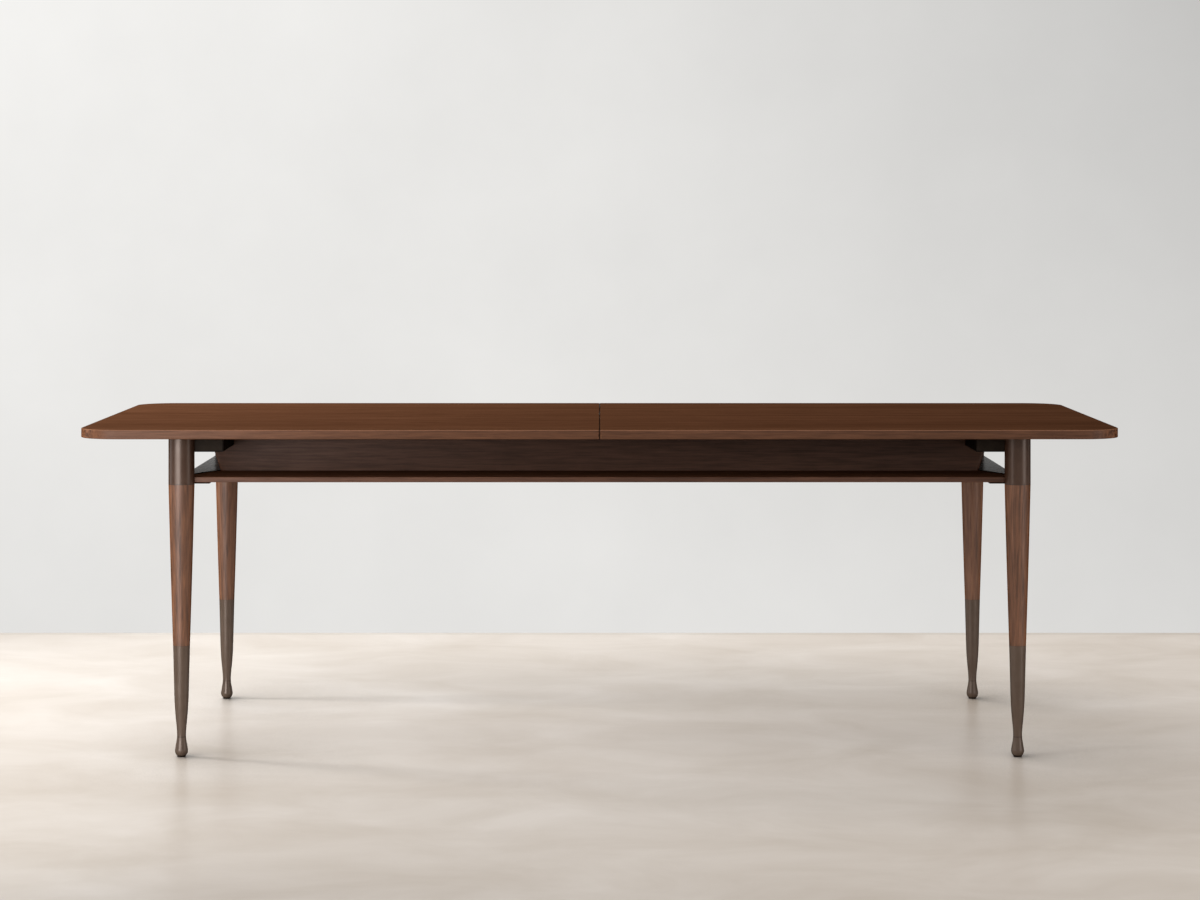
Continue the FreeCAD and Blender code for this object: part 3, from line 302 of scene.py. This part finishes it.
class Surface(NodeTree):
    """A material's node tree."""

    def __init__(self, name):
        self.material = bpy.data.materials.new(name)
        super().__init__(self.material)
        self.output = self.add("ShaderNodeOutputMaterial")

    def coordinates(self, scale=TRUE_SCALE, place=ORIGIN):
        """Object coordinates, in metres, scaled along each axis."""
        source = self.add("ShaderNodeTexCoord")
        mapping = self.add("ShaderNodeMapping")
        mapping.inputs["Scale"].default_value = scale
        mapping.inputs["Location"].default_value = place
        self.link(source.outputs["Object"], mapping.inputs["Vector"])
        return mapping.outputs["Vector"]

    def coordinate(self, axis):
        """The object coordinate along one axis, in metres."""
        return self.split(self.coordinates())[axis]

    def facing(self, axis):
        """How far the surface faces along one axis, from -1 to 1."""
        return self.split(self.add("ShaderNodeNewGeometry").outputs["Normal"])[axis]

    def grain_noise(self, texture, axis, place=ORIGIN, wave=1.0):
        """Noise stretched along one axis; wave scales its distortion."""
        lengthwise, crosswise, detail, roughness, distortion = texture
        scale = [lengthwise if other == axis else crosswise for other in AXES]
        return self.noise(self.coordinates(scale, place), 1.0, detail, roughness, distortion * wave)

    def mix(self, factor, first, second, blend="MIX"):
        node = self.add("ShaderNodeMix", data_type="RGBA", blend_type=blend)
        self.feed(node.inputs[MIX_FACTOR], factor)
        self.feed(node.inputs[MIX_FIRST], first)
        self.feed(node.inputs[MIX_SECOND], second)
        return node.outputs[MIX_RESULT]

    def shaded(self, colour, value, shades, share=1.0):
        """A colour darkened by a value's shades."""
        return self.mix(share, colour, self.grey_ramp(value, shades), "MULTIPLY")

    def varied(self, base, value, changes):
        """A level that changes from its base with a value."""
        return self.grey_ramp(value, [(place, base + change) for place, change in changes])

    def bump(self, height, strength, distance):
        node = self.add("ShaderNodeBump")
        node.inputs["Strength"].default_value = strength
        node.inputs["Distance"].default_value = distance
        self.link(height, node.inputs["Height"])
        return node.outputs["Normal"]

    def fading_gloss(self, level):
        """A specular level that fades out where the surface is seen at a grazing angle."""
        weight = self.add("ShaderNodeLayerWeight")
        weight.inputs["Blend"].default_value = FADE_BLEND
        return self.grey_ramp(weight.outputs["Facing"], [(FADE_START, level), (FADE_END, 0.0)])

    def principled(self, colour, roughness, normal=None, fading=None, **values):
        """The surface shader; fading is a specular level that fades at grazing angles."""
        shader = self.add("ShaderNodeBsdfPrincipled")
        self.feed(shader.inputs["Base Color"], colour)
        self.feed(shader.inputs["Roughness"], roughness)
        if normal is not None:
            self.link(normal, shader.inputs["Normal"])
        for name, value in values.items():
            self.feed(shader.inputs[name.replace("_", " ")], value)
        if fading is not None:
            shader.inputs["Specular IOR Level"].default_value = fading
            self.link(self.fading_gloss(fading), shader.inputs["Specular IOR Level"])
        self.link(shader.outputs["BSDF"], self.output.inputs["Surface"])
        return self.material


def wood_grain(nodes, tones, axis, place, wave=1.0):
    """Straight grain: broad figure, long bands, short streaks and open pores."""
    figure = nodes.grain_noise(WOOD_FIGURE, axis, place, wave)
    bands = nodes.grain_noise(WOOD_BANDS, axis, place, wave)
    streaks = nodes.grain_noise(WOOD_STREAKS, axis, place)
    pores = nodes.grain_noise(WOOD_PORES, axis, place)
    grain = nodes.weighted_sum((figure, FIGURE_WEIGHT), (bands, BANDS_WEIGHT),
                               (streaks, STREAKS_WEIGHT))
    colour = nodes.ramp(grain, zip(WOOD_STOPS, tones))
    colour = nodes.shaded(colour, streaks, STREAK_SHADES, STREAK_SHARE)
    pore_shade = nodes.grey_ramp(pores, PORE_SHADES)
    colour = nodes.mix(PORE_SHARE, colour, pore_shade, "MULTIPLY")
    return colour, streaks, pore_shade


def ring(nodes, colour, height, width, tone):
    """A thin ring of another tone round a turned piece, just under one height."""
    level = nodes.coordinate("Z")
    over = nodes.math("GREATER_THAN", level, height - width)
    under = nodes.math("LESS_THAN", level, height)
    return nodes.mix(nodes.math("MULTIPLY", over, under), colour, opaque(tone))


def end_grain(nodes, colour):
    """Blotched, porous end grain where the edge turns across the boards."""
    across = nodes.math("ABSOLUTE", nodes.facing("X"))
    blotches = nodes.noise(nodes.coordinates(), *END_GRAIN_BLOTCHES)
    blotched = nodes.ramp(blotches, zip(END_GRAIN_STOPS, END_GRAIN_TONES))
    return nodes.mix(nodes.grey_ramp(across, END_GRAIN_FACING), colour, blotched)


def shade_along(nodes, colour, axis, ends, shades):
    """Painted light and shade: a tone that changes along one axis, with shades by share of the way
    between two ends.
    """
    start, end = ends
    share = nodes.math("DIVIDE", nodes.math("SUBTRACT", nodes.coordinate(axis), start), end - start)
    return nodes.shaded(colour, share, shades)


def painted_arris_highlight(nodes, colour):
    """Painted highlight: a lighter tone along the eased upper edges, standing in for the light they
    catch.
    """
    return nodes.mix(nodes.grey_ramp(nodes.facing("Z"), ARRIS_HIGHLIGHT_FACING), colour, opaque(ARRIS_HIGHLIGHT_TONE))


def painted_seam_shade(nodes, colour):
    """Painted shade: a dark line in the gap where the two halves meet, on all but their meeting faces.
    """
    near = nodes.math("LESS_THAN", nodes.math("ABSOLUTE", nodes.coordinate("X")), SEAM_LINE)
    outer = nodes.math("LESS_THAN", nodes.math("ABSOLUTE", nodes.facing("X")), SEAM_FACE_LIMIT)
    return nodes.mix(nodes.math("MULTIPLY", near, outer), colour, opaque(JOINT_SHADE_TONE))


def lacquered(nodes, grain, lacquer):
    """A thin satin lacquer over a wood grain."""
    colour, streaks, pore_shade = grain
    roughness, specular = lacquer
    gloss = nodes.varied(roughness, streaks, LACQUER_CHANGES)
    height = nodes.weighted_sum((streaks, LACQUER_HEIGHT_WEIGHT), (pore_shade, LACQUER_HEIGHT_WEIGHT))
    return nodes.principled(colour, gloss, nodes.bump(height, *LACQUER_BUMP), fading=specular)


def top_wood(name, with_seam):
    nodes = Surface(name)
    colour, streaks, pore_shade = wood_grain(nodes, TOP_TONES, "X", TOP_GRAIN_PLACE)
    # Painted light: darker towards the right end
    colour = shade_along(nodes, colour, "X", TABLE_ENDS, TOP_PAINTED_FALLOFF)
    # Painted highlight on the eased upper edges
    colour = painted_arris_highlight(nodes, end_grain(nodes, colour))
    # Painted shade in the seam between the two halves
    if with_seam:
        colour = painted_seam_shade(nodes, colour)
    return lacquered(nodes, (colour, streaks, pore_shade), TOP_LACQUER)


def leg_wood():
    """Wood of the legs, with a painted shade line at the joint under the collars."""
    nodes = Surface("leg_wood")
    colour, streaks, pore_shade = wood_grain(nodes, LEG_TONES, "Z", LEG_GRAIN_PLACE)
    collar_low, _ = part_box("collar_front_left")
    # Painted shade line under the collar
    colour = ring(nodes, colour, collar_low[UP], JOINT_LINE, JOINT_SHADE_TONE)
    return lacquered(nodes, (colour, streaks, pore_shade), LEG_LACQUER)


def frame_wood():
    nodes = Surface("frame_wood")
    colour, streaks, pore_shade = wood_grain(nodes, FRAME_TONES, "X", FRAME_GRAIN_PLACE, FRAME_WAVE)
    # Painted light: darker towards the right end
    colour = shade_along(nodes, colour, "X", TABLE_ENDS, FRAME_PAINTED_FALLOFF)
    return lacquered(nodes, (colour, streaks, pore_shade), FRAME_LACQUER)


def inner_wood():
    nodes = Surface("inner_wood")
    return lacquered(nodes, wood_grain(nodes, BIRCH_TONES, "Y", BIRCH_GRAIN_PLACE), BIRCH_LACQUER)


def brushed(nodes, tones, roughness, axis):
    """The colour, roughness and surface of a brushed metal with a cloudy patina."""
    clouds = nodes.noise(nodes.coordinates(), *PATINA)
    brush = nodes.grain_noise(BRUSHING, axis)
    colour = nodes.ramp(clouds, zip(PATINA_STOPS, tones))
    colour = nodes.shaded(colour, brush, BRUSH_SHADES, BRUSH_SHARE)
    return colour, nodes.varied(roughness, clouds, METAL_CHANGES), nodes.bump(brush, *BRUSH_BUMP)


def bare_metal(name, tones):
    nodes = Surface(name)
    return nodes.principled(*brushed(nodes, tones, BARE_METAL_ROUGHNESS, "X"), Metallic=1.0)


def bronze(nodes, colour, roughness, normal, specular):
    return nodes.principled(colour, roughness, normal, fading=specular,
                            Metallic=BRONZE_METALLIC, Specular_Tint=BRONZE_TINT)


def collar_bronze():
    """Dark, smooth bronze of the leg collars."""
    nodes = Surface("collar_bronze")
    colour, roughness, normal = brushed(nodes, COLLAR_TONES, BRONZE_ROUGHNESS, "Z")
    return bronze(nodes, colour, roughness, normal, COLLAR_SPECULAR)


def ferrule_bronze():
    """Greyer bronze of ferrules and feet, with painted shade lines at the joints at the top and at the
    waist.
    """
    nodes = Surface("ferrule_bronze")
    colour, roughness, normal = brushed(nodes, FERRULE_TONES, BRONZE_ROUGHNESS, "Z")
    ferrule_low, ferrule_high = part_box("ferrule_front_left")
    # Painted shade lines at the ferrule's joints
    colour = ring(nodes, colour, ferrule_high[UP], RIM_LINE, RIM_SHADE_TONE)
    colour = ring(nodes, colour, ferrule_low[UP], WAIST_LINE, JOINT_SHADE_TONE)
    return bronze(nodes, colour, roughness, normal, FERRULE_SPECULAR)


def blackened_steel():
    """Waxed black steel, rubbed to a sheen on its upper faces."""
    nodes = Surface("black_steel")
    surface = brushed(nodes, BLACK_STEEL_TONES, BLACK_STEEL_ROUGHNESS, "Y")
    rubbed = nodes.grey_ramp(nodes.facing("Z"), RUBBED_FACING)
    return nodes.principled(*surface, Specular_IOR_Level=BLACK_STEEL_SPECULAR,
                            Coat_Roughness=RUBBED_ROUGHNESS, Coat_Weight=rubbed)


def moulded(name, tones, roughness, skin_scale):
    """Moulded plastic: a faint mottle and a fine pebbled skin."""
    nodes = Surface(name)
    place = nodes.coordinates()
    mottle = nodes.noise(place, *PLASTIC_MOTTLE)
    skin = nodes.noise(place, skin_scale, *PLASTIC_SKIN_DETAIL)
    colour = nodes.ramp(mottle, zip(PLASTIC_STOPS, tones))
    gloss = nodes.varied(roughness, skin, PLASTIC_CHANGES)
    normal = nodes.bump(skin, *PLASTIC_BUMP)
    return nodes.principled(colour, gloss, normal, Specular_IOR_Level=PLASTIC_SPECULAR)


def felt():
    nodes = Surface("felt")
    hairs = nodes.noise(nodes.coordinates(), *FELT_HAIRS)
    colour = nodes.ramp(hairs, zip(FELT_STOPS, FELT_TONES))
    return nodes.principled(colour, FELT_ROUGHNESS, nodes.bump(hairs, *FELT_BUMP),
                            Specular_IOR_Level=FELT_SPECULAR, Sheen_Weight=FELT_SHEEN)


def contact_shade(nodes, colour):
    """Painted shade: the soft dark patch beside a standing thing on the floor, away from the window."""
    side = nodes.add("ShaderNodeCombineXYZ")
    for socket, value in zip(side.inputs, CONTACT_SIDE):
        socket.default_value = value
    nearness = nodes.add("ShaderNodeAmbientOcclusion", samples=CONTACT_SAMPLES)
    nearness.inputs["Distance"].default_value = CONTACT_REACH
    nodes.link(side.outputs[0], nearness.inputs["Normal"])
    return nodes.shaded(colour, nearness.outputs["AO"], CONTACT_SHADES)


def floor_material():
    """Pale polished screed with soft clouds, painted light and shade along the table and in depth, and a
    painted shade line where it meets the wall.
    """
    nodes = Surface("pale_floor")
    broad = nodes.noise(nodes.coordinates(FLOOR_BROAD_STRETCH), *FLOOR_BROAD)
    clouds = nodes.noise(nodes.coordinates(FLOOR_CLOUDS_STRETCH, FLOOR_CLOUDS_PLACE), *FLOOR_CLOUDS)
    tone = nodes.weighted_sum((broad, FLOOR_BROAD_WEIGHT), (clouds, FLOOR_CLOUDS_WEIGHT))
    colour = nodes.ramp(tone, zip(FLOOR_TONE_STOPS, FLOOR_TONES))
    # Painted light and shade along the table and in depth
    colour = shade_along(nodes, colour, "X", FLOOR_ENDS, FLOOR_PAINTED_FALLOFF)
    colour = shade_along(nodes, colour, "Y", FLOOR_DEPTH, FLOOR_DEPTH_PAINTED_SHADES)
    colour = contact_shade(nodes, colour)
    gloss = nodes.grey_ramp(broad, FLOOR_GLOSS)
    return nodes.principled(colour, gloss, Specular_IOR_Level=FLOOR_SPECULAR)


def slot_materials():
    """One material for each of the record's material slots, and the leaf's own, with no seam."""
    return {
        "top_wood": top_wood("top_wood", with_seam=True),
        "leaf": top_wood("leaf_wood", with_seam=False),
        "leg_wood": leg_wood(),
        "frame_wood": frame_wood(),
        "inner_wood": inner_wood(),
        "collar_bronze": collar_bronze(),
        "ferrule_bronze": ferrule_bronze(),
        "black_steel": blackened_steel(),
        "steel": bare_metal("steel", STEEL_TONES),
        "brass": bare_metal("brass", BRASS_TONES),
        "nylon": moulded("nylon", NYLON_TONES, NYLON_ROUGHNESS, NYLON_SKIN_SCALE),
        "black_plastic": moulded("black_plastic", BLACK_PLASTIC_TONES,
                                 BLACK_PLASTIC_ROUGHNESS, BLACK_PLASTIC_SKIN_SCALE),
        "felt": felt(),
    }


def dress_frame():
    """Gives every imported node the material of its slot."""
    materials = slot_materials()
    for subpart in frame["record"]["subparts"]:
        node = frame["nodes"][subpart["node"]]
        node.data.materials.clear()
        finish = "leaf" if subpart["node"] == "leaf" else subpart["material_slot"]
        node.data.materials.append(materials[finish])


def add_floor():
    corners = [(-FLOOR_HALF_WIDTH, FLOOR_FRONT_Y, 0.0), (FLOOR_HALF_WIDTH, FLOOR_FRONT_Y, 0.0),
               (FLOOR_HALF_WIDTH, FLOOR_BACK_Y, 0.0), (-FLOOR_HALF_WIDTH, FLOOR_BACK_Y, 0.0)]
    mesh = bpy.data.meshes.new("floor")
    mesh.from_pydata(corners, [], [tuple(range(len(corners)))])
    mesh.materials.append(floor_material())
    floor = bpy.data.objects.new("floor", mesh)
    bpy.context.scene.collection.objects.link(floor)


def add_lamp(name, place, aim, width, height, spread, watts, mirrored):
    """A rectangular light that faces one point, its beam narrowed to a spread in degrees."""
    light = bpy.data.lights.new(name, "AREA")
    light.shape = "RECTANGLE"
    light.size = width
    light.size_y = height
    light.spread = math.radians(spread)
    light.energy = watts
    light.color = DAYLIGHT
    lamp = bpy.data.objects.new(name, light)
    lamp.location = place
    lamp.visible_glossy = mirrored
    lamp.rotation_euler = (Vector(aim) - Vector(place)).to_track_quat("-Z", "Y").to_euler()
    bpy.context.scene.collection.objects.link(lamp)


class Studio(NodeTree):
    """The world's node tree: a pale wall for the camera, and a room that lights the table."""

    def __init__(self):
        world = bpy.data.worlds.new("studio")
        bpy.context.scene.world = world
        super().__init__(world)
        self.direction = self.add("ShaderNodeTexCoord").outputs["Generated"]
        self.axes = self.split(self.direction)

    def mapped(self, axis, low, high, first, last):
        """A level that follows one axis of the direction, held at both ends."""
        node = self.add("ShaderNodeMapRange")
        limits = {"From Min": low, "From Max": high, "To Min": first, "To Max": last}
        for name, value in limits.items():
            node.inputs[name].default_value = value
        self.link(self.axes[axis], node.inputs["Value"])
        return node.outputs["Result"]

    def wall_level(self):
        """Brighter at the left than at the right, most of all high up, with soft plaster clouds."""
        level = self.grey_ramp(self.mapped("X", -WALL_SPREAD, WALL_SPREAD, 0.0, 1.0), WALL_LEVELS)
        sideways = self.mapped("X", -WALL_SPREAD, WALL_SPREAD, -WALL_SPREAD, WALL_SPREAD)
        upward = self.mapped("Z", -WALL_SPREAD, WALL_SPREAD, -WALL_SPREAD, WALL_SPREAD)
        twist = self.math("MULTIPLY", self.math("MULTIPLY", sideways, upward), WALL_TWIST)
        clouds = self.noise(self.direction, *WALL_CLOUDS)
        mottle = self.math("MULTIPLY_ADD", clouds, WALL_MOTTLE, 1.0 - WALL_MOTTLE / 2)
        return self.math("MULTIPLY", self.math("ADD", level, twist), mottle)

    def room_level(self):
        """The room's own light: a base level, and more from some sides."""
        level = ROOM_BASE
        for axis, end, extra in ROOM_SIDES:
            level = self.math("ADD", level, self.mapped(axis, 0.0, end, 0.0, extra))
        return level

    def background(self, tint, level=1.0):
        shader = self.add("ShaderNodeBackground")
        shader.inputs["Color"].default_value = tint
        self.feed(shader.inputs["Strength"], level)
        return shader.outputs[0]

    def blend(self, factor, first, second):
        node = self.add("ShaderNodeMixShader")
        for socket, value in zip(node.inputs, (factor, first, second)):
            self.link(value, socket)
        return node.outputs[0]


def add_world():
    """A room that lights the table, seen as the wall behind it and, far down, as the floor's tone."""
    nodes = Studio()
    wall = nodes.background(WALL_TINT, nodes.wall_level())
    ground = nodes.background(GROUND_TINT)
    backdrop = nodes.blend(nodes.mapped("Z", *GROUND_DROP, 0.0, 1.0), wall, ground)
    path = nodes.add("ShaderNodeLightPath").outputs
    dimmed = nodes.math("MULTIPLY_ADD", path["Is Glossy Ray"], ROOM_GLOSS - 1.0, 1.0)
    room = nodes.background(WALL_TINT, nodes.math("MULTIPLY", nodes.room_level(), dimmed))
    mirrored = nodes.math("MAXIMUM", path["Is Glossy Ray"], path["Is Transmission Ray"])
    behind = nodes.math("MULTIPLY", mirrored, nodes.mapped("Y", 0.0, WALL_FADE, 0.0, 1.0))
    seen = nodes.math("MAXIMUM", path["Is Camera Ray"], behind)
    world = nodes.blend(seen, room, backdrop)
    nodes.link(world, nodes.add("ShaderNodeOutputWorld").inputs["Surface"])


def add_camera():
    data = bpy.data.cameras.new("camera")
    data.sensor_width = SENSOR_WIDTH_MM
    data.sensor_fit = "HORIZONTAL"
    data.lens = FOCAL_PX / IMAGE_WIDTH_PX * SENSOR_WIDTH_MM
    data.shift_y = -HORIZON_ABOVE_CENTRE_PX / IMAGE_WIDTH_PX
    data.clip_end = FARTHEST_VIEW
    camera = bpy.data.objects.new("camera", data)
    camera.location = CAMERA_PLACE
    camera.rotation_euler = CAMERA_TURN
    bpy.context.scene.collection.objects.link(camera)
    bpy.context.scene.camera = camera


dress_frame()
add_floor()
for lamp_values in LAMPS:
    add_lamp(*lamp_values)
add_world()
add_camera()
bpy.context.scene.view_settings.view_transform = "Standard"
